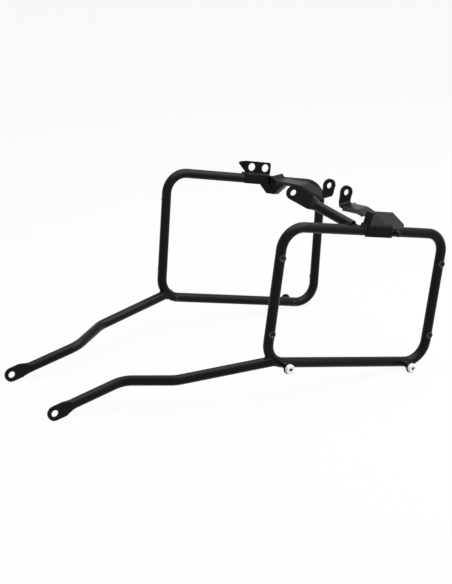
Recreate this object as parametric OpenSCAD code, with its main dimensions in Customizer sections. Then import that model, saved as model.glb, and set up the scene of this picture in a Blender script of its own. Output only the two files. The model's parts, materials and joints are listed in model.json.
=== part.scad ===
// Motorbike pannier frame: a left and a right carrier for hard side cases.
// Each carrier is one closed loop of bent steel tube with a lower strut that ends in a
// flattened foot, a folded saddle on the top tube, an eye strap bolted on behind it,
// threaded inserts in the uprights and two pins with white bushes on the bottom tube.
//
// The model is drawn as the frame sits on the bike: X points rearward, Y to the right
// side, Z up, and the tubes of the loops run level. The last step tips the whole frame
// back until both feet and both rear pins stand on the floor, Z = 0.

/* [Tube] */
// Outside diameter of the loop and strut tube
tube_d = 20; // [18:0.5:22]
// Wall of the tube
tube_wall = 2; // [1.5:0.25:3]

/* [Loop] */
// Length between the axes of the two uprights
loop_l = 378; // [340:1:420]
// Height between the axes of the top and bottom tubes
loop_h = 269; // [240:1:300]
// Forward lean of the uprights, in degrees
rake = 4.5; // [0:0.1:8]
// Radius of the loop's four bends, at the tube's axis
bend_r = 42; // [38:1:45]

/* [Stance] */
// Distance between the middles of the two loops
span = 460; // [420:1:520]
// Angle by which the rear ends stand closer together
toe = 2.1; // [0:0.1:4]
// Angle by which the tops lean outward
cant = 3.4; // [0:0.1:5]

/* [Lower strut] */
// Rearward place of the outer bend
knee_x = -337; // [-345:1:-325]
// Distance of the outer bend from the centre plane
knee_y = 178; // [165:1:190]
// Height of the outer bend
knee_z = -187; // [-196:1:-180]
// Rearward place of the inner bend
elbow_x = -413; // [-420:1:-400]
// Height of the inner bend
elbow_z = -210; // [-222:1:-204]
// Rearward place of the foot's hole
foot_x = -545; // [-560:1:-525]
// Distance of the last stretch of tube from the centre plane
foot_y = 110; // [105:1:120]
// Height of the foot's hole
foot_z = -273; // [-290:1:-262]
// Bend radius of the strut, at the tube's axis
strut_bend = 50; // [35:1:55]
// Diameter of the hole in the foot
foot_hole = 14; // [8:0.5:14]

/* [Flattened ends] */
// Thickness of a flattened tube end
flat_t = 4; // [3:0.5:5]
// Width of a flattened tube end
flat_w = 29; // [28:0.5:32]
// Length over which round turns to flat
flat_run = 21; // [18:1:26]

/* [Upper strut, left side] */
// Rearward place where it meets the top tube
rise_x = -46; // [-52:1:-40]
// Rearward place of its hole
ear_x = -103.5; // [-120:1:-90]
// Distance of its hole from the centre plane
ear_y = 105; // [95:1:125]
// Height of its hole
ear_z = 172.5; // [165:0.5:185]
// Turn of the flattened end about the strut's axis, in degrees
ear_roll = 24; // [0:1:40]
// Diameter of its hole
ear_hole = 13; // [8:0.5:14]

/* [Saddle and uprights] */
// Rearward place of the saddle's middle
saddle_x = 11; // [6:0.5:14]
// Length of the saddle along its lower edges
saddle_l = 63; // [58:1:66]
// Lean of the saddle's ends, in degrees
saddle_lean = 7; // [0:1:10]
// Thickness of the folded sheet
sheet_t = 3; // [2:0.5:4]
// Height of the upright plates above the saddle
plate_h = 25; // [22:1:32]
// Diameter of the two holes in the right upright plate
plate_hole = 17; // [10:0.5:18]
// Distance between those two holes
plate_pitch = 33; // [28:1:36]

/* [Eye strap] */
// Rearward place of the strap's bolt
strap_x = 55; // [54:1:60]
// Rearward place of the eye
eye_x = 68; // [62:0.5:74]
// Distance of the eye from the centre plane
eye_y = 33; // [30:1:38]
// Height of the eye
eye_z = 168; // [166:0.5:174]
// Turn of the strap about its bolt, front edge down, in degrees
strap_tilt = 17; // [12:1:18]
// Width of the strap
strap_w = 25; // [22:1:28]
// Thickness of the strap
strap_t = 5; // [4:0.5:6]
// Diameter of the strap's bolt
bolt_d = 8; // [6:0.5:8]
// Diameter of the eye's hole
eye_hole = 13; // [8:0.5:14]
// Outside diameter of the eye
eye_d = 28; // [27:1:30]

/* [Case pins] */
// Rearward place of the front pin
pin_front_x = -146; // [-147:0.5:-130]
// Rearward place of the rear pin
pin_rear_x = 147; // [140:1:152]
// Diameter of a pin's shank
pin_d = 12; // [10:0.5:13]
// Diameter of a pin's flange
flange_d = 22; // [20:1:26]
// Distance from the tube's axis to the flange's outer face
flange_out = 33; // [26:0.5:40]
// Outside diameter of a bush
bush_d = 18; // [15:0.5:20]
// Length of a bush
bush_l = 7; // [5:0.5:10]

/* [Threaded inserts] */
// Height of the inserts above and below the loop's middle
insert_z = 75; // [60:1:80]
// Outside diameter of an insert
insert_d = 14; // [12:0.5:15]
// Core diameter of its thread
insert_bore = 6.8; // [5:0.1:8.5]

/* [Hidden] */
$fn = 48;
tr = tube_d / 2;
half_l = loop_l / 2;
half_h = loop_h / 2;
lean_x = half_h * tan(rake);
rear_top = [half_l - lean_x, 0, half_h];
front_bottom = [-half_l + lean_x, 0, -half_h];
corners = [-rear_bottom(), rear_top, rear_bottom(), front_bottom];
function rear_bottom() = [half_l + lean_x, 0, -half_h];
black = [0.09, 0.09, 0.095];
satin = [0.16, 0.16, 0.17];
dark_steel = [0.25, 0.25, 0.26];
nylon = [0.95, 0.95, 0.93];

// Vector helpers
function unit(v) = v / norm(v);
function turn_of(a, b) = acos(min(1, max(-1, unit(a) * unit(b))));
function across(v) = unit(cross(abs(v[2]) < 0.9 ? [0, 0, 1] : [0, 1, 0], v));

// Where a point of the right loop's own plane lies on the bike. In that plane X runs
// rearward along the tubes, Y is outboard and Z is up, from the middle of the loop.
function out_dir() = [sin(toe) * cos(cant), cos(toe) * cos(cant), -sin(cant)];
function long_dir() = [cos(toe), -sin(toe), 0];
function up_dir() = [sin(toe) * sin(cant), cos(toe) * sin(cant), cos(cant)];
function on_bike(p) = [0, span / 2, 0] + p[0] * long_dir() + p[1] * out_dir() + p[2] * up_dir();

// The lean back that puts feet and rear pins on one floor: both are round from the
// side, so the floor is the common tangent of two circles.
foot_r = flat_w / 2;
rear_rim = on_bike([pin_rear_x, flange_out, -half_h]);
rim_r = flange_d / 2 * cos(cant);
gap_x = rear_rim[0] - foot_x;
gap_z = foot_z - rear_rim[2];
lean_back = asin((foot_r - rim_r) / norm([gap_x, gap_z])) - atan2(gap_z, gap_x);
floor_z = -foot_x * sin(lean_back) + foot_z * cos(lean_back) - foot_r;
// The middle of the frame's length, from the foot's tip to the rear top bend
top_turn = 90 - rake;
top_centre = on_bike(rear_top + bend_r * tan(top_turn / 2) * [-1, 0, 0] + [0, 0, -bend_r]);
out_x = out_dir()[0] * cos(lean_back) + out_dir()[2] * sin(lean_back);
far_x = top_centre[0] * cos(lean_back) + top_centre[2] * sin(lean_back)
    + bend_r * sqrt(1 - out_x * out_x) + tr;
near_x = foot_x * cos(lean_back) + foot_z * sin(lean_back) - foot_r;
mid_x = (far_x + near_x) / 2;

// From the bike's frame to the frame standing on the floor
module stand() {
    translate([-mid_x, 0, -floor_z]) rotate([0, lean_back, 0]) children();
}
// The two sides are mirror images of each other
module right_side() { stand() children(); }
module left_side() { stand() mirror([0, 1, 0]) children(); }
// From a loop's own plane to the bike's frame, right side
module in_loop() {
    translate([0, span / 2, 0]) rotate([-cant, 0, -toe]) children();
}
// Puts the children at p with their Z along z_dir and their X along x_dir
module aim(p, z_dir, x_dir) {
    y_dir = cross(z_dir, x_dir);
    multmatrix([
        [x_dir[0], y_dir[0], z_dir[0], p[0]],
        [x_dir[1], y_dir[1], z_dir[1], p[1]],
        [x_dir[2], y_dir[2], z_dir[2], p[2]],
        [0, 0, 0, 1]]) children();
}

// Tube work
module ring(d, bore) {
    difference() {
        circle(d = d);
        if (bore > 0) circle(d = bore);
    }
}
// A straight length from a to b
module straight(a, b, d, bore) {
    aim(a, unit(b - a), across(unit(b - a))) linear_extrude(norm(b - a)) ring(d, bore);
}
// A bend at the corner p between the directions d1 and d2
module bend(p, d1, d2, r, d, bore) {
    turn = turn_of(d1, d2);
    axis = unit(cross(d1, d2));
    start = p - d1 * r * tan(turn / 2);
    centre = start + cross(axis, d1) * r;
    aim(centre, axis, unit(start - centre))
        rotate_extrude(angle = turn, $fn = 96) translate([r, 0]) ring(d, bore);
}
// Side i of the loop runs from corner i to the next one; 0 is the top tube, 2 the bottom.
// A hairline stays open beside each bend, so that every run is an exact solid.
hairline = 0.05;
function side_dir(i) = unit(corners[(i + 5) % 4] - corners[(i + 4) % 4]);
function cut_back(i) = bend_r * tan(turn_of(side_dir(i - 1), side_dir(i)) / 2);
module loop_side(i, d, bore) {
    straight(corners[i] + side_dir(i) * (cut_back(i) + hairline),
        corners[(i + 1) % 4] - side_dir(i) * (cut_back(i + 1) + hairline), d, bore);
}
module loop_bend(i, d, bore) {
    bend(corners[i], side_dir(i - 1), side_dir(i), bend_r, d, bore);
}
// An open run of tube through a list of points, with one radius for every bend
module open_tube(points, r, d, bore) {
    n = len(points);
    for (i = [0:n - 2]) {
        d1 = unit(points[i + 1] - points[i]);
        cut_a = i == 0 ? 0 : r * tan(turn_of(points[i] - points[i - 1], d1) / 2);
        cut_b = i == n - 2 ? 0 : r * tan(turn_of(d1, points[i + 2] - points[i + 1]) / 2);
        straight(points[i] + d1 * (cut_a + hairline), points[i + 1] - d1 * (cut_b + hairline), d, bore);
        if (i < n - 2) bend(points[i + 1], d1, unit(points[i + 2] - points[i + 1]), r, d, bore);
    }
}

// Sheet work: the outline of a folded strip of thickness t, seen edge on, that follows
// the corners p with one fold radius each. Every stop is [place, heading].
function heading(v) = atan2(v[1], v[0]);
function wrap(a) = a > 180 ? a - 360 : a < -180 ? a + 360 : a;
function left_of(a) = [-sin(a), cos(a)];
function fold_stops(a, b, c, r) = let(
        h1 = heading(b - a),
        turn = wrap(heading(c - b) - h1),
        s = sign(turn),
        start = b - [cos(h1), sin(h1)] * r * tan(abs(turn) / 2),
        centre = start + s * r * left_of(h1))
    [for (k = [0:8]) [centre - s * r * left_of(h1 + turn * k / 8), h1 + turn * k / 8]];
function strip_stops(p, r) = let(n = len(p)) concat(
    [[p[0], heading(p[1] - p[0])]],
    [for (i = [1:n - 2]) for (q = fold_stops(p[i - 1], p[i], p[i + 1], r[i - 1])) q],
    [[p[n - 1], heading(p[n - 1] - p[n - 2])]]);
function strip(p, r, t) = let(q = strip_stops(p, r), n = len(q)) concat(
    [for (i = [0:n - 1]) q[i][0] - left_of(q[i][1]) * t / 2],
    [for (i = [0:n - 1]) q[n - 1 - i][0] + left_of(q[n - 1 - i][1]) * t / 2]);
// A prism from an outline seen from the side: first value rearward, second value up
module side_prism(points, y_from, y_to) {
    translate([0, y_to, 0]) rotate([90, 0, 0]) linear_extrude(y_to - y_from) polygon(points);
}
// A prism from an outline seen from the front: first value outboard, second value up
module front_prism(points, x_from, x_to) {
    translate([x_from, 0, 0]) rotate([90, 0, 90]) linear_extrude(x_to - x_from) polygon(points);
}
// A rod along the outboard direction from y_from to y_to
module rod(d, y_from, y_to) {
    translate([0, y_from, 0]) rotate([-90, 0, 0]) cylinder(d = d, h = y_to - y_from);
}

// A tube end pressed flat: round at z = 0, flat after flat_run, then a plate with a
// rounded tip. The plate is wide along X and lies at y = shift. hole_z is the place of
// the hole, whose axis runs along Y.
module flat_section(u, shift) {
    ease = u * u * (3 - 2 * u);
    translate([0, shift * ease, flat_run * u]) linear_extrude(0.01)
        scale([tr + (flat_w / 2 - tr) * ease, tr + (flat_t / 2 - tr) * ease]) circle(r = 1, $fn = 32);
}
module flat_end(shift, hole_z, hole_d) {
    steps = 5;
    for (i = [0:steps - 1]) {
        hull() {
            flat_section(i / steps, shift);
            if (i < steps - 1) {
                flat_section((i + 1) / steps, shift);
            } else {
                translate([-flat_w / 2, shift - flat_t / 2, flat_run]) cube([flat_w, flat_t, 0.01]);
            }
        }
    }
    difference() {
        translate([0, shift + flat_t / 2, 0]) rotate([90, 0, 0]) linear_extrude(flat_t) {
            translate([-flat_w / 2, flat_run]) square([flat_w, hole_z - flat_run]);
            translate([0, hole_z]) circle(d = flat_w);
        }
        translate([0, 0, hole_z]) rod(hole_d, shift - flat_t, shift + flat_t);
    }
}

// Loop: one bent tube. The top tube is drilled for the strap's bolt, the bottom tube
// for the two pins, and the outer wall of each upright for two inserts.
function upright_x(side, z) = side * half_l - z * tan(rake);
pin_places = [pin_front_x, pin_rear_x];
module upright_side(i, side) {
    difference() {
        loop_side(i, tube_d, tube_d - 2 * tube_wall);
        for (z = [-insert_z, insert_z]) translate([upright_x(side, z), 0, z]) rod(insert_d, 0, tube_d);
    }
}
module loop() {
    color(black) in_loop() {
        difference() {
            loop_side(0, tube_d, tube_d - 2 * tube_wall);
            translate([strap_x, 0, half_h]) rod(bolt_d, -tube_d, tube_d);
        }
        for (run = [0:1]) {
            difference() {
                if (run == 0) loop_side(2, tube_d, tube_d - 2 * tube_wall);
                if (run == 1) loop_bend(3, tube_d, tube_d - 2 * tube_wall);
                for (x = pin_places) translate([x, 0, -half_h]) rod(pin_d, -tube_d, tube_d);
            }
        }
        upright_side(1, 1);
        upright_side(3, -1);
        for (i = [0:2]) loop_bend(i, tube_d, tube_d - 2 * tube_wall);
    }
}

// Distance from the start of a flattened end to its hole, at the foot and at the ear
flat_reach = flat_run + 21;
ear_reach = flat_run + 43;

// Lower strut: leaves the front bottom bend, swings inboard and ends in the foot
strut_start = on_bike(front_bottom);
knee = [knee_x, knee_y, knee_z];
elbow = [elbow_x, foot_y, elbow_z];
foot = [foot_x, foot_y, foot_z];
foot_shift = 4;
strut_run_in = 14;
module strut() {
    last = unit(foot - elbow);
    tube_end = foot - last * flat_reach;
    color(black) {
        difference() {
            open_tube([strut_start + unit(strut_start - knee) * strut_run_in, knee, elbow, tube_end],
                strut_bend, tube_d, tube_d - 2 * tube_wall);
            in_loop() loop_bend(3, tube_d, 0);
        }
        aim(tube_end, last, unit(cross([0, 1, 0], last))) flat_end(foot_shift, flat_reach, foot_hole);
    }
}

// Upper strut, left side only: rises inboard from the top tube to a flattened ear
module upper_strut() {
    start = on_bike([rise_x, 0, half_h]) + [0, 0, 8];
    ear = [ear_x, ear_y, ear_z];
    along = unit(ear - start);
    plumb = unit([0, 0, 1] - along * along[2]);
    wide = plumb * cos(ear_roll) - cross(along, plumb) * sin(ear_roll);
    color(black) {
        difference() {
            straight(start, ear - along * ear_reach, tube_d, tube_d - 2 * tube_wall);
            in_loop() loop_side(0, tube_d, 0);
        }
        aim(ear - along * ear_reach, along, wide) flat_end(0, ear_reach, ear_hole);
    }
}

// Saddle: a folded channel that sits over the top tube, with leaning ends
saddle_drop = tr - 0.5;
saddle_top = tr + sheet_t;
saddle_cut = (saddle_drop + saddle_top) * tan(saddle_lean);
saddle_rear = saddle_x + saddle_l / 2;
module saddle() {
    m = tr + sheet_t / 2;
    w = tr + 2 * sheet_t;
    color(satin) in_loop() translate([0, 0, half_h]) intersection() {
        front_prism(strip([[-m, -saddle_drop], [-m, m], [m, m], [m, -saddle_drop]], [2.5, 2.5], sheet_t),
            saddle_x - saddle_l / 2, saddle_rear);
        saddle_room(w);
    }
}
module saddle_room(w) {
    side_prism([[saddle_rear - saddle_l, -saddle_drop], [saddle_rear, -saddle_drop],
        [saddle_rear - saddle_cut, saddle_top], [saddle_rear - saddle_l + saddle_cut, saddle_top]], -w, w);
}

// Right upright: a plate with two holes and a wing folded outboard at its front end
fold_x = -15;
plate_top = saddle_top + plate_h;
module right_upright() {
    color(black) in_loop() translate([0, 0, half_h]) difference() {
        intersection() {
            linear_extrude(plate_top)
                polygon(strip([[fold_x + 62, -2], [fold_x, -2], [fold_x - 16, 14]], [5], sheet_t));
            side_prism([[fold_x - 1, saddle_top], [fold_x + 59, saddle_top],
                [fold_x + 58, plate_top - 3], [fold_x + 55, plate_top], [fold_x - 1, plate_top],
                [fold_x - 10, plate_top - 3], [fold_x - 13, plate_top - 6], [fold_x - 12, plate_top - 9],
                [fold_x - 3, saddle_top + 4]], -20, 20);
        }
        for (x = [0, plate_pitch])
            translate([fold_x + 12.5 + x, 0, saddle_top + plate_h / 2]) rod(plate_hole, -20, 5);
    }
}

// Left upright: a six-cornered plate that leans inboard, its rear foot on the tube.
// A web closes its front end and a gusset stiffens the outer side.
upright_tilt = 18;
web_x = -17.5;
function web_rear(z) = web_x + sheet_t + z * tan(saddle_lean);
module left_upright() {
    color(satin) in_loop() difference() {
        translate([0, 4, half_h + saddle_top]) rotate([upright_tilt, 0, 0])
            side_prism([[web_x, -6], [70, -6], [72, 3], [43.5, 25.5], [web_x, 25.5]],
                -sheet_t / 2, sheet_t / 2);
        translate([0, 0, half_h + saddle_top]) side_prism([[web_rear(-15) - 20, -15], [web_rear(-15), -15],
            [web_rear(35), 35], [web_rear(35) - 20, 35]], -40, 40);
        in_loop_tube();
        translate([-60, -40, half_h + saddle_top - 30]) cube([60 + saddle_rear, 80, 30]);
    }
}
module in_loop_tube() {
    translate([-100, 0, half_h]) rotate([0, 90, 0]) cylinder(d = tube_d, h = 220);
}
module left_web() {
    color(satin) in_loop() translate([0, 0, half_h + saddle_top])
        side_prism([[web_rear(0) - sheet_t, 0], [web_rear(0), 0], [web_rear(plate_h - 1), plate_h - 1],
            [web_rear(plate_h - 1) - sheet_t, plate_h - 1]], -8, 11.5);
}
module left_gusset() {
    color(satin) in_loop() translate([0, 0, half_h + saddle_top])
        side_prism([[web_rear(0), 0], [28, 0], [26, 2], [web_rear(25) + 1, 25], [web_rear(25), 25]],
            7, 7 + sheet_t);
}

// Strap tab: welded to the inner side of the top tube to take the strap's bolt. On the
// right side it is a V with both lower edges folded outboard.
tab_face = -tr - sheet_t;
tab_x = strap_x + 3;
module tab_lip(side) {
    intersection() {
        aim([tab_x, tab_face + sheet_t / 2, -25], unit([side, 0, 1]), [side * 0.5, sqrt(0.5), -0.5])
            translate([-1.2, -sheet_t / 2, -20]) cube([19, sheet_t, 53]);
        translate([side > 0 ? tab_x : tab_x - 60, -40, -29]) cube([60, 80, 60]);
    }
}
module strap_tab(lips) {
    color(satin) in_loop() difference() {
        translate([0, 0, half_h]) {
            if (lips) {
                side_prism([[tab_x, -25], [tab_x + 24, -1], [tab_x + 24, 6], [tab_x - 24, 6],
                    [tab_x - 24, -1]], tab_face, 1 - tr);
                tab_lip(1);
                tab_lip(-1);
            } else {
                translate([strap_x, 0, 0]) rod(28, tab_face, 1 - tr);
            }
        }
        in_loop_tube();
        translate([0, 0, half_h]) saddle_room(2 * tr);
        translate([strap_x, 0, half_h]) rod(bolt_d, -40, 40);
    }
}

// Eye strap: a flat bar bolted to the tab. It humps over the bolt's head, runs level and
// then down, and is folded up into an eye beside the centre plane. It is drawn in its own
// frame: the origin is on the bolt's axis, X across the bar, Y outboard, Z up the root.
strap_mid = tab_face - strap_t / 2;
function in_plane(p) = let(q = p - [0, span / 2, 0]) [q * long_dir(), q * out_dir(), q * up_dir()];
function in_strap(p) = let(q = in_plane(p), x = q[0] - strap_x, z = q[2] - half_h)
    [x * cos(strap_tilt) + z * sin(strap_tilt), q[1], z * cos(strap_tilt) - x * sin(strap_tilt)];
eye = in_strap([eye_x, eye_y, eye_z]);
dip = in_strap([eye_x, eye_y + 2, 140.5]);
module in_strap_frame() {
    in_loop() translate([strap_x, 0, half_h]) rotate([0, -strap_tilt, 0]) children();
}
// The strap's front edge is folded down beside the eye. The strap's outline trims the lip.
lip_h = 10;
lip_t = 4;
function strap_front(y) = -strap_w / 2 + dip[0] * min(1, (-34 - y) / 146);
module strap_lip() {
    low = (lip_h + 1 - strap_t) / 2;
    inner = strap_front(-180) + lip_t;
    intersection() {
        front_prism(strip([[-60, 5.9 - low], [-123, 6.5 - low], [eye[1] + 4, dip[2] - low]],
            [60], lip_h - 1), -40, 80);
        translate([0, 0, -60]) linear_extrude(120) polygon([
            [-30, -100], [-30, -190], [inner, -190], [inner, -180], [strap_front(-106) + lip_t, -106]]);
    }
}
module strap() {
    r = eye_d / 2;
    w = strap_w / 2;
    lean = tan(cant);
    color(dark_steel) in_strap_frame() difference() {
        intersection() {
            union() {
                front_prism(strip([[strap_mid, -20], [strap_mid, 14.5], [-38, 5.5], [-123, 6.5],
                    [eye[1] + (eye[2] - dip[2]) * lean, dip[2]], [eye[1] - 20 * lean, eye[2] + 20]],
                    [4.2, 30, 60, 8], strap_t), -40, 80);
                strap_lip();
            }
            translate([0, 0, -60]) linear_extrude(120) polygon([
                [-15, 0], [-15, -20], [-w, -34], [dip[0] - w, -180], [dip[0] - w, -220], [eye[0] + r, -220],
                [eye[0] + r, -190], [dip[0] + w, -180], [w, -34], [15, -20], [15, 0]]);
            union() {
                translate([-40, -240, -40]) cube([120, 240 - 24, 80]);
                rod(30, -24, 0);
                translate([-15, -24, 0]) cube([30, 24, 40]);
            }
            union() {
                translate([-40, -188, -40]) cube([120, 188, 80]);
                translate([eye[0], 0, eye[2]]) rod(eye_d, -240, -188);
                side_prism([[dip[0] - w, -40], [dip[0] + w, -40], [dip[0] + w, dip[2]],
                    [eye[0] + r, eye[2]], [eye[0] - r, eye[2]], [dip[0] - w, dip[2]]], -240, -188);
            }
        }
        rod(bolt_d, -60, 0);
        translate(eye) rotate([cant, 0, 0]) rod(eye_hole, -20, 20);
    }
}

// The strap's fasteners: hexagon bolt with washer on the inner side, nut on the outer
washer_t = 1.6;
washer_d = 16;
washer_face = tab_face - strap_t;
module hex_body(across_flats, h) {
    intersection() {
        cylinder(d = across_flats / cos(30), h = h, $fn = 6);
        cylinder(d1 = across_flats * 1.16, d2 = across_flats * 0.95, h = h);
    }
}
module strap_bolt() {
    color(dark_steel) in_loop() translate([strap_x, 0, half_h]) {
        rod(bolt_d, washer_face - washer_t, tr + 9);
        translate([0, washer_face - washer_t, 0]) rotate([90, 0, 0]) hex_body(13, 4.4);
    }
}
module strap_washer() {
    color(dark_steel) in_loop() translate([strap_x, 0, half_h]) difference() {
        rod(washer_d, washer_face - washer_t, washer_face);
        rod(bolt_d, washer_face - 5, washer_face + 5);
    }
}
module strap_nut() {
    color(dark_steel) in_loop() translate([strap_x, 0, half_h]) difference() {
        translate([0, tr, 0]) rotate([-90, 0, 0]) hex_body(13, 6.5);
        rod(bolt_d, 0, 40);
    }
}

// Case pins: a shank through both walls of the bottom tube, a flange, a white bush in
// front of it, and a black screw from the inner side that holds the bush
screw_d = 7;
flange_t = 2.5;
module pin(x) {
    color(black) in_loop() translate([x, 0, -half_h]) difference() {
        union() {
            rod(pin_d, -tr - 1, flange_out - flange_t);
            rod(flange_d, flange_out - flange_t, flange_out);
        }
        rod(screw_d, -40, 60);
    }
}
module bush(x) {
    color(nylon) in_loop() translate([x, flange_out, -half_h]) difference() {
        union() {
            rod(bush_d, 0, bush_l - 1);
            translate([0, bush_l - 1, 0]) rotate([-90, 0, 0]) cylinder(d1 = bush_d, d2 = bush_d - 2, h = 1);
        }
        rod(screw_d, -1, 20);
    }
}
module pin_screws() {
    head = 10.5;
    color(dark_steel) in_loop() for (x = pin_places) translate([x, -tr - 1, -half_h]) {
        rod(screw_d, 0, tr + 1 + flange_out + bush_l - 2);
        rotate([90, 0, 0]) difference() {
            union() {
                cylinder(d = head, h = 1);
                translate([0, 0, 1]) cylinder(d1 = head, d2 = head * 0.62, h = 2.3);
            }
            translate([0, 0, 1.4]) cylinder(d = 4.6, h = 5, $fn = 6);
        }
    }
}

// Threaded inserts: a plain body in the outer wall and a face that stands a little proud
module inserts() {
    color(dark_steel) in_loop() for (side = [-1, 1]) for (z = [-insert_z, insert_z])
        translate([upright_x(side, z), 0, z]) difference() {
            rod(insert_d, -3, tr + 0.6);
            rod(insert_bore, -10, 20);
            translate([0, tr - 0.4, 0]) rotate([-90, 0, 0]) cylinder(d1 = insert_bore, d2 = insert_bore + 2.4, h = 1.2);
        }
}

left_side() loop();  // left_loop
right_side() loop();  // right_loop
left_side() strut();  // left_strut
right_side() strut();  // right_strut
left_side() saddle();  // left_saddle
right_side() saddle();  // right_saddle
left_side() strap_tab(false);  // left_strap_tab
right_side() strap_tab(true);  // right_strap_tab
left_side() strap();  // left_strap
right_side() strap();  // right_strap
left_side() strap_bolt();  // left_strap_bolt
right_side() strap_bolt();  // right_strap_bolt
left_side() strap_washer();  // left_strap_washer
right_side() strap_washer();  // right_strap_washer
left_side() strap_nut();  // left_strap_nut
right_side() strap_nut();  // right_strap_nut
left_side() pin(pin_front_x);  // left_front_pin
right_side() pin(pin_front_x);  // right_front_pin
left_side() pin(pin_rear_x);  // left_rear_pin
right_side() pin(pin_rear_x);  // right_rear_pin
left_side() bush(pin_front_x);  // left_front_bush
right_side() bush(pin_front_x);  // right_front_bush
left_side() bush(pin_rear_x);  // left_rear_bush
right_side() bush(pin_rear_x);  // right_rear_bush
left_side() pin_screws();  // left_pin_screws
right_side() pin_screws();  // right_pin_screws
left_side() inserts();  // left_inserts
right_side() inserts();  // right_inserts
right_side() right_upright();
left_side() left_upright();
left_side() left_web();
left_side() left_gusset();
left_side() upper_strut();  // left_upper_strut
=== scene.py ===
import json
import math

import bmesh
import bpy
from mathutils import Matrix, Vector
from mathutils.bvhtree import BVHTree


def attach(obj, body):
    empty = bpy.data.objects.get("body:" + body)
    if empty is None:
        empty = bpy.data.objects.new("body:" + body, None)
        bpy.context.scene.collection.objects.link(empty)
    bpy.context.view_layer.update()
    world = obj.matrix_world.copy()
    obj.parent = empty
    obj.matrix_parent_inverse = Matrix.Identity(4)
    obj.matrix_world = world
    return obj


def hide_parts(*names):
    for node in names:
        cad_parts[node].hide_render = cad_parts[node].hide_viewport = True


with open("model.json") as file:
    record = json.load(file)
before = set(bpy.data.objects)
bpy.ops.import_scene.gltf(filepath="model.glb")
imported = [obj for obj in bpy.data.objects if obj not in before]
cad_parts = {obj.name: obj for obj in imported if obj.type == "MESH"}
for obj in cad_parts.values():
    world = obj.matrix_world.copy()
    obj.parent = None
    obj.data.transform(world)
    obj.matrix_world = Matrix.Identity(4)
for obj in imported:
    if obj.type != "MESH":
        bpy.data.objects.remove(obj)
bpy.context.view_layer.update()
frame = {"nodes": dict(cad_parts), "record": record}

MM = 0.001

# Dimensions of the pannier frame on the bike, as in part.scad, in millimetres and degrees.
# In the bike's frame x runs rearward, y to the right and z up.
SPAN, TOE, CANT, LEAN_BACK = 460, 2.1, 3.4, 11.453574
LOOP_L, LOOP_H, RAKE = 378, 269, 4.5
HALF_L, HALF_H = LOOP_L / 2, LOOP_H / 2
TUBE_R, PIN_R = 10, 6
MIDDLE_X, FLOOR_Z = -197.809184, -173.840713
PIN_X = {"front": -146, "rear": 147}
STRAP_X, NUT_L, BOLT_R = 55, 6.5, 4
INSERT_Z, INSERT_BORE_R = 75, 3.4
SADDLE_X, SADDLE_L, SADDLE_LEAN, SADDLE_DROP = 11, 63, 7, 9.5
FOLD_X, PLATE_L, WEB_X = -15, 59, -17.5
KNEE = (-337, 178, -187)
EAR, RISE_X, RISE_LIFT = (-103.5, 105, 172.5), -46, 8
SIDES = {"left": -1, "right": 1}


def standing(p):
    """From the bike's frame to the frame standing on the floor, in metres."""
    turned = Matrix.Rotation(math.radians(LEAN_BACK), 3, "Y") @ Vector(p)
    return (turned - Vector((MIDDLE_X, 0, FLOOR_Z))) * MM


def loop_space(side):
    """Matrix from a loop's own plane, in mm, to the floor's frame. side is 1 for right and -1 for left."""
    toe_in = Matrix.Rotation(math.radians(-TOE), 4, "Z")
    cant = Matrix.Rotation(math.radians(-CANT), 4, "X")
    place = Matrix.Translation((0, SPAN / 2, 0)) @ toe_in @ cant
    lean = Matrix.Rotation(math.radians(LEAN_BACK), 4, "Y")
    shift = Matrix.Translation((-MIDDLE_X, 0, -FLOOR_Z))
    return Matrix.Scale(MM, 4) @ shift @ lean @ Matrix.Diagonal((1, side, 1, 1)) @ place


# Materials
WHITE = (1, 1, 1, 1)
# A Mix node has sockets for each kind of data. These are the ones for colours.
MIX_FACTOR, MIX_A, MIX_B, MIX_RESULT = 0, 6, 7, 2


class Val:
    """A number on its way through a material: arithmetic on it adds Math nodes."""

    def __init__(self, paint, socket):
        self.paint, self.socket = paint, socket

    def combine(self, how, other):
        return self.paint.node("ShaderNodeMath", {"operation": how}, {0: self, 1: other})

    def __add__(self, other):
        return self.combine("ADD", other)

    def __mul__(self, other):
        return self.combine("MULTIPLY", other)


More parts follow.
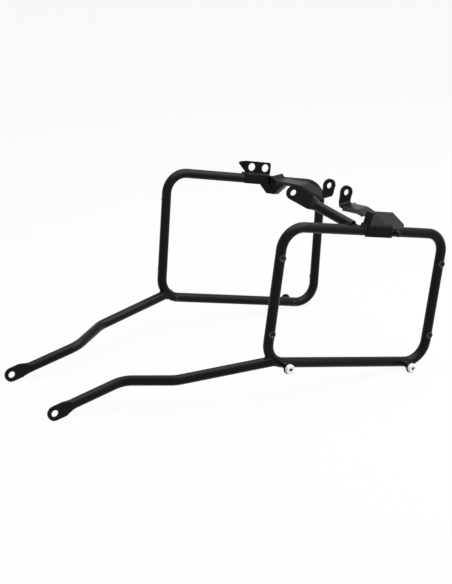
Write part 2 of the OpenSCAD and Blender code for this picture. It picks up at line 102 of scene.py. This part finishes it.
class Paint:
    """A procedural shader, for a material or for the world."""

    def __init__(self, owner, output="ShaderNodeOutputMaterial"):
        owner.use_nodes = True
        self.owner, self.tree = owner, owner.node_tree
        self.tree.nodes.clear()
        self.surface = self.tree.nodes.new(output).inputs["Surface"]

    def node(self, kind, settings=None, sockets=None, out=0):
        """Adds a node, sets its properties and sockets, and gives back one of its outputs."""
        made = self.tree.nodes.new(kind)
        for key, value in (settings or {}).items():
            setattr(made, key, value)
        for key, value in (sockets or {}).items():
            if isinstance(value, Val):
                self.tree.links.new(value.socket, made.inputs[key])
            else:
                made.inputs[key].default_value = value
        return Val(self, made.outputs[out])

    def noise(self, scale, detail=2.0, rough=0.5):
        place = self.node("ShaderNodeTexCoord", out="Object")
        sockets = {"Vector": place, "Scale": scale, "Detail": detail, "Roughness": rough}
        return self.node("ShaderNodeTexNoise", {}, sockets)

    def step(self, value, start, end):
        """0 where value is below start, 1 where it is above end, and a straight ramp in between."""
        ramp = self.node("ShaderNodeValToRGB", {}, {0: value})
        black, white = ramp.socket.node.color_ramp.elements
        black.position, white.position = start, end
        return ramp

    def blend(self, mask, a, b):
        sockets = {MIX_FACTOR: mask, MIX_A: a, MIX_B: b}
        return self.node("ShaderNodeMix", {"data_type": "RGBA"}, sockets, MIX_RESULT)

    def seen_directly(self):
        """1 for the camera's own rays, and for those that it sends by way of gloss or glass."""
        camera = self.node("ShaderNodeLightPath", out="Is Camera Ray")
        rays = camera.socket.node.outputs
        return camera + Val(self, rays["Is Glossy Ray"]) + Val(self, rays["Is Transmission Ray"])

    def bump(self, height, depth, strength):
        return self.node("ShaderNodeBump", {}, {"Height": height, "Distance": depth, "Strength": strength})

    def show(self, shader):
        self.tree.links.new(shader.socket, self.surface)
        return self.owner

    def finish(self, **sockets):
        names = {key.replace("_", " "): value for key, value in sockets.items()}
        return self.show(self.node("ShaderNodeBsdfPrincipled", {}, names))


def new_paint(name):
    return Paint(bpy.data.materials.new(name))


def rgb(tone, warm=0.0):
    return (tone * (1 + warm), tone, tone * (1 - warm), 1)


def powder_coat(name, tone, rough, peel=1.0, shine=0.12):
    """Black powder coat: a fine orange peel, a slow drift in gloss and a little dust."""
    p = new_paint(name)
    fine_peel = p.noise(900, rough=0.55)
    wide_peel = p.noise(260)
    drift = p.noise(9, detail=3, rough=0.6)
    dust = p.step(p.noise(2400, detail=3, rough=0.7), 0.66, 0.78)
    colour = p.blend(drift, rgb(tone * 0.8, 0.02), rgb(tone * 1.25, 0.04))
    colour = p.blend(dust * 0.12, colour, rgb(tone * 4 + 0.01, 0.03))
    return p.finish(
        Base_Color=colour,
        Roughness=drift * 0.1 + dust * 0.1 + (rough - 0.05),
        IOR=1.5,
        Specular_IOR_Level=shine,
        Normal=p.bump(fine_peel * 0.35 + wide_peel, depth=0.06 * MM * peel, strength=0.6),
    )


def dark_steel(name, tone, rough):
    """Blackened steel: fine turning marks and rubbed patches."""
    p = new_paint(name)
    rubbed = p.step(p.noise(120, detail=4, rough=0.65), 0.42, 0.7)
    grain = p.noise(3000, rough=0.6)
    return p.finish(
        Base_Color=p.blend(rubbed, rgb(tone, 0.02), rgb(tone * 1.9, 0.03)),
        Metallic=0.85,
        Roughness=grain * 0.16 + rubbed * -0.08 + rough,
        Normal=p.bump(grain, depth=0.03 * MM, strength=0.5),
    )


def nylon(name):
    """White moulded nylon with a faint mottle and a fine grain."""
    p = new_paint(name)
    mottle = p.noise(160, detail=3, rough=0.6)
    grain = p.noise(2600)
    return p.finish(
        Base_Color=p.blend(mottle, (0.80, 0.80, 0.78, 1), (0.87, 0.87, 0.85, 1)),
        Roughness=grain * 0.12 + 0.34,
        Normal=p.bump(grain, depth=0.03 * MM, strength=0.4),
    )


TUBE = powder_coat("tube_coat", 0.004, 0.28, shine=0.085)
SHEET = powder_coat("sheet_coat", 0.003, 0.34, shine=0.075)
STRAP = powder_coat("strap_coat", 0.004, 0.34, shine=0.075)
WELD = powder_coat("weld_coat", 0.009, 0.32, peel=2.0)
# Painted highlight: a lighter copy of the black coat, for plates that catch the light
PAINTED_LIGHT_COAT = powder_coat("plate_coat_painted_highlight", 0.03, 0.38)
BOLT = dark_steel("black_steel", 0.012, 0.36)
INSERT = dark_steel("insert_steel", 0.03, 0.32)
NYLON = nylon("white_nylon")

FINISH = {"tube": TUBE, "sheet": SHEET, "strap": STRAP, "hardware": BOLT, "insert": INSERT, "bush": NYLON}
# The near side's upright plate and gusset get a lighter black than the rest: a painted highlight for the
# light that these plates catch
PAINTED_LIGHT_PLATES = ("left_upright", "left_gusset")


# Pieces
# Width of the rounding along the cut edges, in mm, by the kind of node. The tubes have none.
ROUNDING = {
    "saddle": 0.5, "upright": 0.5, "web": 0.4, "gusset": 0.4, "strap_tab": 0.5, "strap": 0.7,
    "strap_bolt": 0.25, "strap_nut": 0.25, "strap_washer": 0.2, "front_pin": 0.35, "rear_pin": 0.35,
    "front_bush": 0.3, "rear_bush": 0.3, "pin_screws": 0.2, "inserts": 0.2,
}
# Edges that turn by more than this are cut edges, in degrees
CUT_ANGLE = 32
slot_of = {s["node"]: s["material_slot"] for s in frame["record"]["subparts"]}


def make_piece(name, bm, material):
    mesh = bpy.data.meshes.new(name)
    bm.to_mesh(mesh)
    bm.free()
    mesh.materials.append(material)
    obj = bpy.data.objects.new(name, mesh)
    bpy.context.scene.collection.objects.link(obj)
    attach(obj, "root")
    return obj


def mark_sharp(bm, angle):
    for face in bm.faces:
        face.smooth = True
    for edge in bm.edges:
        edge.smooth = len(edge.link_faces) != 2 or edge.calc_face_angle(0) <= math.radians(angle)


def dressed(node, rounding):
    """A smooth copy of a CAD node with its cut edges rounded. It takes the node's place in the picture."""
    bm = bmesh.new()
    bm.from_mesh(frame["nodes"][node].data)
    bmesh.ops.remove_doubles(bm, verts=bm.verts, dist=0.002 * MM)
    bmesh.ops.dissolve_degenerate(bm, edges=bm.edges, dist=0.001 * MM)
    mark_sharp(bm, CUT_ANGLE)
    # The near side's upright plate and gusset take the lighter coat, which is painted highlight
    coat = PAINTED_LIGHT_COAT if node in PAINTED_LIGHT_PLATES else FINISH[slot_of[node]]
    piece = make_piece(node + "_skin", bm, coat)
    if rounding:
        bevel = piece.modifiers.new("round", "BEVEL")
        bevel.width, bevel.segments = rounding * MM, 2
        bevel.limit_method, bevel.angle_limit = "ANGLE", math.radians(CUT_ANGLE)
    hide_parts(node)


for node in frame["nodes"]:
    kind = node.split("_", 1)[1]
    dressed(node, ROUNDING.get(kind, 0))


# Welds
# Width of each bead in mm
BEAD = {
    "strut": 3.6, "pin": 2.2, "saddle": 2.6, "tab": 2.4, "right_upright": 2.0,
    "left_upright": 2.2, "left_gusset": 1.8, "left_upper_strut": 3.2,
}
# The tab's bead: how far it runs before and behind the strap's bolt, and its place across the tube
TAB_FRONT, TAB_REAR, TAB_N, TAB_Z = 12, 24, -9.6, 5
# Where the beads of the left plates end, and how far outboard of the tube's axis they lie
UPRIGHT_END, UPRIGHT_N, GUSSET_END, GUSSET_N = 68, 1.6, 27, 10.6
# How far outboard the beads on both faces of the right upright lie
OUTER_N, INNER_N = 0.2, -4.2


def bead(name, points, width, closed=True):
    """A weld bead: a rippled cord of metal along a joint, powder coated with the rest. Open ones taper."""
    tip, growth = 0.45, 0.2
    curve = bpy.data.curves.new(name, "CURVE")
    curve.dimensions, curve.bevel_depth, curve.bevel_resolution = "3D", width / 2 * MM, 4
    curve.use_fill_caps = not closed
    spline = curve.splines.new("POLY")
    spline.points.add(len(points) - 1)
    spline.use_cyclic_u = closed
    for i, (place, point) in enumerate(zip(points, spline.points)):
        point.co = (*place, 1)
        taper = 1 if closed else min(1, tip + growth * min(i, len(points) - 1 - i))
        ripple, sway = 0.16 * math.sin(i * 1.9), 0.05 * math.sin(i * 0.37)
        point.radius = taper * (1 + ripple + sway)
    holder = bpy.data.objects.new(name + "_path", curve)
    bpy.context.scene.collection.objects.link(holder)
    bpy.context.view_layer.update()
    cord = bpy.data.meshes.new_from_object(holder.evaluated_get(bpy.context.evaluated_depsgraph_get()))
    bm = bmesh.new()
    bm.from_mesh(cord)
    bpy.data.objects.remove(holder)
    bpy.data.curves.remove(curve)
    bpy.data.meshes.remove(cord)
    bmesh.ops.remove_doubles(bm, verts=bm.verts, dist=0.001 * MM)
    bmesh.ops.recalc_face_normals(bm, faces=bm.faces)
    for face in bm.faces:
        face.smooth = True
    make_piece(name, bm, WELD)


def surface_of(*nodes):
    """The surface of some CAD nodes, ready for rays."""
    corners, faces = [], []
    for node in nodes:
        mesh = frame["nodes"][node].data
        faces += [[v + len(corners) for v in f.vertices] for f in mesh.polygons]
        corners += [v.co.copy() for v in mesh.vertices]
    return BVHTree.FromPolygons(corners, faces)


def joint_line(start, along, node, count=72):
    """Where a round tube that runs from start along a direction meets a CAD node, all round the tube."""
    radius, set_back, reach = (TUBE_R + 0.2) * MM, 60 * MM, 80 * MM
    along = along.normalized()
    u = along.orthogonal().normalized()
    v = along.cross(u)
    surface, hits = surface_of(node), []
    for i in range(count):
        turn = 2 * math.pi * i / count
        ring = start + (u * math.cos(turn) + v * math.sin(turn)) * radius
        hit = surface.ray_cast(ring - along * set_back, along, reach)[0]
        if hit is not None:
            hits.append(hit)
    return hits


def laid_line(space, x_from, x_to, n, surface, count=36):
    """Points along a loop's top tube, dropped on to what lies under them. n is their place outboard."""
    height, reach = HALF_H + 40, 60 * MM
    down = (space.to_3x3() @ Vector((0, 0, -1))).normalized()
    hits = []
    for i in range(count):
        start = space @ Vector((x_from + (x_to - x_from) * i / (count - 1), n, height))
        hit = surface.ray_cast(start, down, reach)[0]
        if hit is not None:
            hits.append(hit)
    return hits


def saddle_end(space, end, count=44):
    """The line on the top tube where one end of the saddle is welded. end is 1 for the rear one."""
    radius, first, sweep = TUBE_R + 0.5, -25, 230
    points = []
    for i in range(count):
        turn = math.radians(first + sweep * i / (count - 1))
        z = radius * math.sin(turn)
        reach = SADDLE_L / 2 - (z + SADDLE_DROP) * math.tan(math.radians(SADDLE_LEAN)) + 0.6
        points.append(space @ Vector((SADDLE_X + end * reach, radius * math.cos(turn), HALF_H + z)))
    return points


def pin_ring(space, x, face, count=40):
    """The line round a pin on one face of the bottom tube. face is 1 for the outer one."""
    radius = PIN_R + 0.4
    points = []
    for i in range(count):
        turn = 2 * math.pi * i / count
        up = radius * math.sin(turn)
        out = math.sqrt(TUBE_R ** 2 - up * up)
        points.append(space @ Vector((x + radius * math.cos(turn), face * out, up - HALF_H)))
    return points


def add_loop_welds(side, sign, space):
    """The welds that both loops have: the lower strut, the pins, the saddle and the strap's tab."""
    corner = space @ Vector((-HALF_L + HALF_H * math.tan(math.radians(RAKE)), 0, -HALF_H))
    knee = standing((KNEE[0], KNEE[1] * sign, KNEE[2]))
    bead(f"{side}_strut_weld", joint_line(corner, corner - knee, f"{side}_loop"), BEAD["strut"])
    for which, x in PIN_X.items():
        bead(f"{side}_{which}_pin_outer_weld", pin_ring(space, x, 1), BEAD["pin"])
        bead(f"{side}_{which}_pin_inner_weld", pin_ring(space, x, -1), BEAD["pin"])
    bead(f"{side}_saddle_front_weld", saddle_end(space, -1), BEAD["saddle"], closed=False)
    bead(f"{side}_saddle_rear_weld", saddle_end(space, 1), BEAD["saddle"], closed=False)
    along_tab = range(STRAP_X - TAB_FRONT, STRAP_X + TAB_REAR)
    tab = [space @ Vector((x, TAB_N, HALF_H + TAB_Z)) for x in along_tab]
    bead(f"{side}_tab_weld", tab, BEAD["tab"], closed=False)


def add_right_plate_welds(space):
    top = surface_of("right_loop", "right_saddle")
    front, rear = FOLD_X + 3, FOLD_X + PLATE_L - 2
    for which, n in (("outer", OUTER_N), ("inner", INNER_N)):
        line = laid_line(space, front, rear, n, top)
        bead(f"right_upright_{which}_weld", line, BEAD["right_upright"], closed=False)


def add_left_plate_welds(space):
    top = surface_of("left_loop", "left_saddle")
    line = laid_line(space, WEB_X + 5, UPRIGHT_END, UPRIGHT_N, top)
    bead("left_upright_weld", line, BEAD["left_upright"], closed=False)
    line = laid_line(space, WEB_X + 4, GUSSET_END, GUSSET_N, top)
    bead("left_gusset_weld", line, BEAD["left_gusset"], closed=False)
    lift = standing((0, 0, RISE_LIFT)) - standing((0, 0, 0))
    start = space @ Vector((RISE_X, 0, HALF_H)) + lift
    ear = standing((EAR[0], -EAR[1], EAR[2]))
    bead("left_upper_strut_weld", joint_line(start, start - ear, "left_loop"), BEAD["left_upper_strut"])


for side, sign in SIDES.items():
    space = loop_space(sign)
    add_loop_welds(side, sign, space)
    if side == "right":
        add_right_plate_welds(space)
    else:
        add_left_plate_welds(space)


# Threads
# The pitch of an M8 thread in mm
PITCH = 1.25
# The ridge in an insert: where it starts outboard of the tube's axis, its depth and the thread's length
INSERT_START, INSERT_DEPTH, INSERT_L = -2.2, -0.6, 11
# The ridge on the strap's bolt: its start behind the nut, its depth and the thread's length
BOLT_START, BOLT_DEPTH, BOLT_L = 0.4, 0.32, 1.9


def thread(name, space, foot, radius, depth, length, material):
    """A screw thread as a spun ridge, from foot outboard. With a depth below zero it points inwards."""
    steps, turns, half = 20, length / PITCH, PITCH * 0.42
    bm = bmesh.new()
    ridge = [bm.verts.new(p) for p in ((radius, -half, 0), (radius + depth, 0, 0), (radius, half, 0))]
    edges = [bm.edges.new(ridge[:2]), bm.edges.new(ridge[1:])]
    bmesh.ops.spin(
        bm, geom=ridge + edges, cent=(0, 0, 0), axis=(0, 1, 0), dvec=(0, PITCH / steps, 0),
        angle=2 * math.pi * turns, steps=int(steps * turns), use_merge=False)
    bmesh.ops.translate(bm, verts=bm.verts, vec=foot)
    bmesh.ops.transform(bm, matrix=space, verts=bm.verts)
    bmesh.ops.holes_fill(bm, edges=[e for e in bm.edges if e.is_boundary], sides=4)
    bmesh.ops.recalc_face_normals(bm, faces=bm.faces)
    mark_sharp(bm, 30)
    make_piece(name, bm, material)


def add_threads(side, space):
    inner_r, bolt_r = INSERT_BORE_R + 0.02, BOLT_R - 0.04
    for end, which in ((-1, "front"), (1, "rear")):
        for z, level in ((-INSERT_Z, "lower"), (INSERT_Z, "upper")):
            foot = (end * HALF_L - z * math.tan(math.radians(RAKE)), INSERT_START, z)
            name = f"{side}_{which}_{level}_thread"
            thread(name, space, foot, inner_r, INSERT_DEPTH, INSERT_L, BOLT)
    foot = (STRAP_X, TUBE_R + NUT_L + BOLT_START, HALF_H)
    thread(f"{side}_bolt_thread", space, foot, bolt_r, BOLT_DEPTH, BOLT_L, BOLT)


for side, sign in SIDES.items():
    add_threads(side, loop_space(sign))


# Stage
FLOOR_HALF = 40
# Light from all round, which the camera doesn't see
SOFT_LIGHT = 0.17
# Each lamp's name, place, what it aims at, width and height in metres, and power in watts
LAMPS = (
    ("top_box", (0.7, -0.2, 2.4), (0.7, -0.2, 0), 3.0, 2.6, 112),
    ("front_box", (1.8, -2.9, 0.78), (0, -0.2, 0.4), 1.3, 0.5, 11),
    ("high_box", (1.2, -1.5, 2.0), (0.1, -0.2, 0.3), 1.8, 0.9, 32),
)
# The camera that took the photo, as fitted to the tubes in it: its place, lens and axes
CAMERA_PLACE, CAMERA_LENS = (-1.323548, -2.58742, 1.120997), 94.07
CAMERA_RIGHT = (0.882563, -0.469843, -0.018192)
CAMERA_UP = (0.163907, 0.271161, 0.948476)
CAMERA_BACK = (-0.440701, -0.840071, 0.316327)


def paper(name, tone, glow):
    """Paper that looks white. The part of it that doesn't glow shows the shadow."""
    p = new_paint(name)
    colour = p.blend(p.noise(3), rgb(tone), rgb(tone * 1.01))
    plain = p.node("ShaderNodeBsdfDiffuse", {}, {"Color": colour})
    light = p.node("ShaderNodeEmission", {}, {"Color": WHITE, "Strength": 1.0})
    return p.show(p.node("ShaderNodeMixShader", {}, {0: p.seen_directly() * glow, 1: plain, 2: light}))


def add_floor():
    bm = bmesh.new()
    bmesh.ops.create_grid(bm, x_segments=8, y_segments=8, size=FLOOR_HALF)
    mesh = bpy.data.meshes.new("floor")
    bm.to_mesh(mesh)
    bm.free()
    mesh.materials.append(paper("floor_paper", 0.55, 0.93))
    floor = bpy.data.objects.new("floor", mesh)
    bpy.context.scene.collection.objects.link(floor)


def add_lamp(name, place, aim_at, width, height, power):
    data = bpy.data.lights.new(name, "AREA")
    data.shape, data.size, data.size_y, data.energy = "RECTANGLE", width, height, power
    lamp = bpy.data.objects.new(name, data)
    lamp.location = place
    lamp.rotation_mode = "QUATERNION"
    lamp.rotation_quaternion = (Vector(aim_at) - Vector(place)).to_track_quat("-Z", "Y")
    lamp.visible_camera = False
    bpy.context.scene.collection.objects.link(lamp)


def add_world():
    world = bpy.data.worlds.new("studio")
    bpy.context.scene.world = world
    p = Paint(world, "ShaderNodeOutputWorld")
    soft = p.node("ShaderNodeBackground", {}, {"Color": WHITE, "Strength": SOFT_LIGHT})
    white = p.node("ShaderNodeBackground", {}, {"Color": WHITE, "Strength": 1.0})
    p.show(p.node("ShaderNodeMixShader", {}, {0: p.seen_directly(), 1: soft, 2: white}))


def add_camera():
    data = bpy.data.cameras.new("camera")
    data.lens, data.sensor_width, data.sensor_fit = CAMERA_LENS, 36, "AUTO"
    camera = bpy.data.objects.new("camera", data)
    turn = Matrix((CAMERA_RIGHT, CAMERA_UP, CAMERA_BACK)).transposed()
    camera.matrix_world = Matrix.Translation(CAMERA_PLACE) @ turn.to_4x4()
    bpy.context.scene.collection.objects.link(camera)
    bpy.context.scene.camera = camera


add_floor()
for lamp in LAMPS:
    add_lamp(*lamp)
add_world()
add_camera()
bpy.context.scene.view_settings.view_transform = "Standard"
